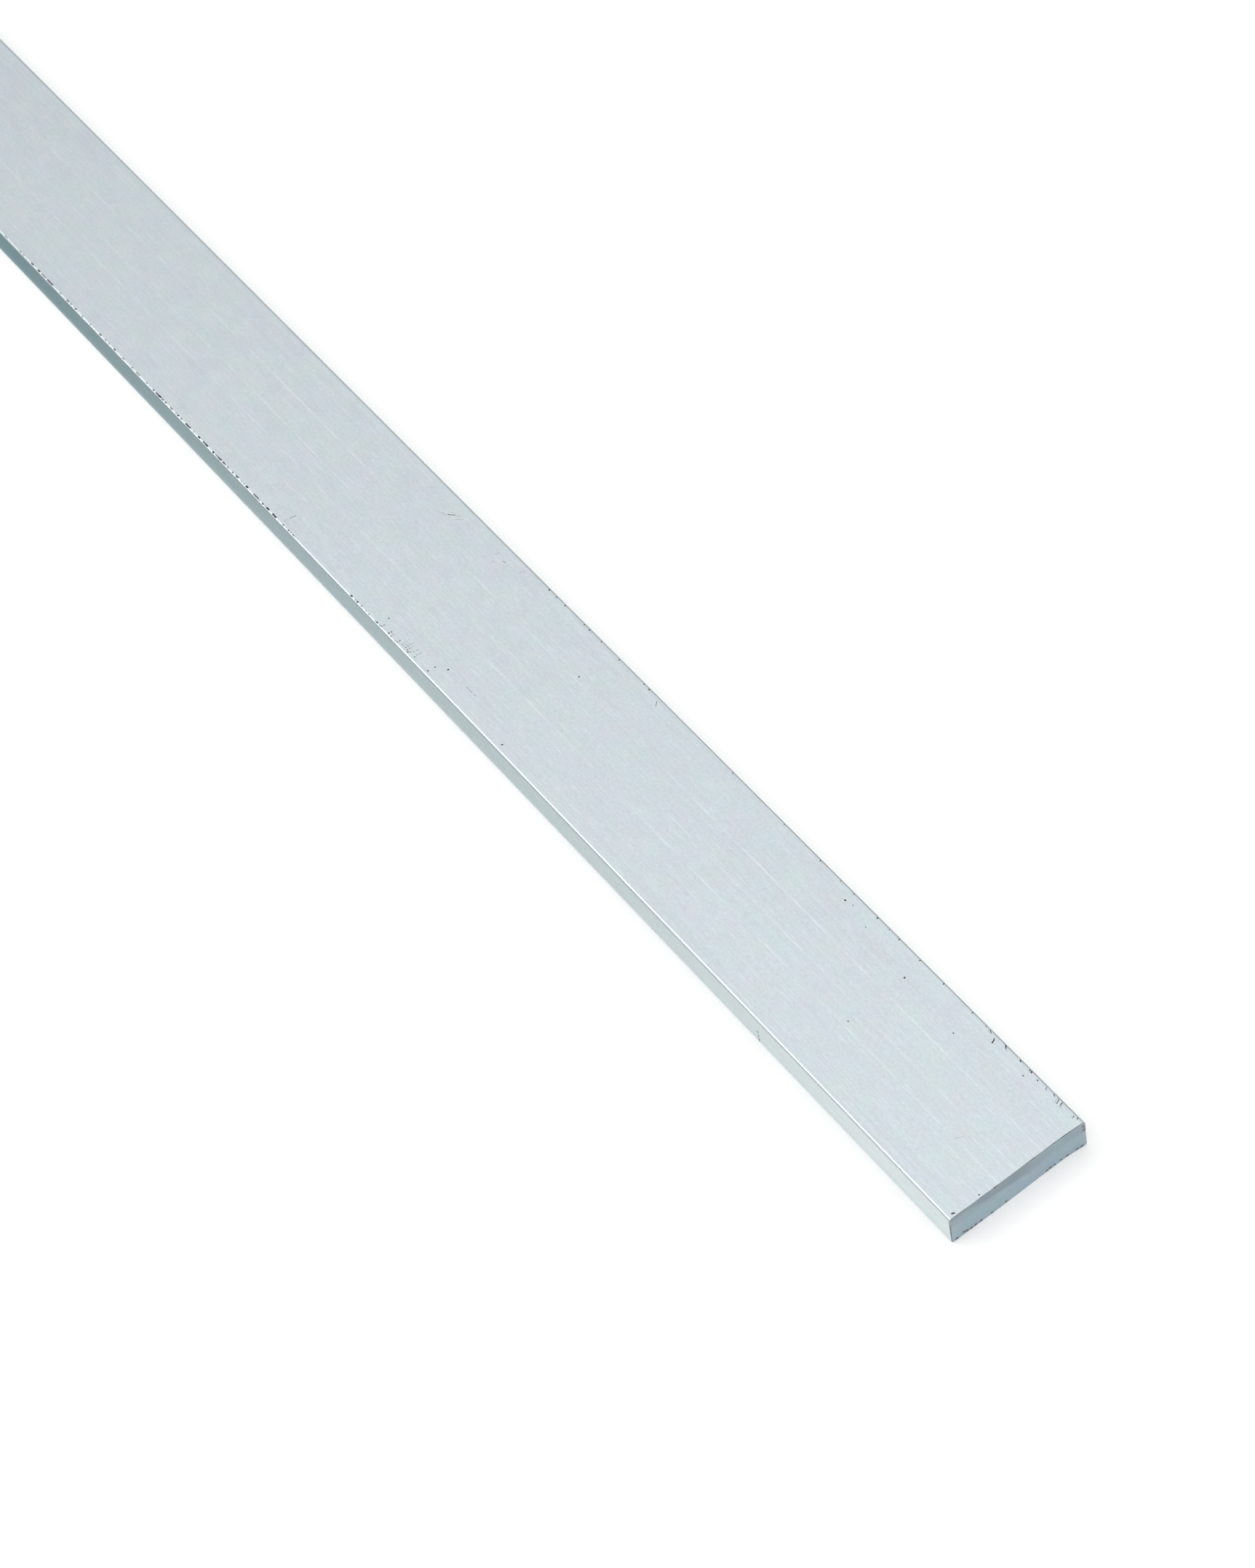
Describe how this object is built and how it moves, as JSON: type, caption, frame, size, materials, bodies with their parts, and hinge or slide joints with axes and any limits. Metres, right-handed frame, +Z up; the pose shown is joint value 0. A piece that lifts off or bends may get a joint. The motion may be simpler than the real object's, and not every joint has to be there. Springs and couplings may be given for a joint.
{
  "type": "metal flat bar",
  "caption": "Solid rectangular aluminium flat bar stock, mill finish, with slightly rounded long edges and square-cut ends.",
  "frame": {"origin": "middle of the wide face that the bar lies on", "axes": "+X along the length, towards the sawn end that the picture shows; +Y across the width, away from the long edge that faces the viewer; +Z up through the thickness"},
  "size_m": [0.9144, 0.0254, 0.0063],
  "materials": {
    "mill_aluminium": "mill finish, as extruded: satin, cool grey-white, with fine lines along the length"
  },
  "bodies": {
    "root": {"flat_bar": "mill_aluminium"}
  },
  "joints": []
}
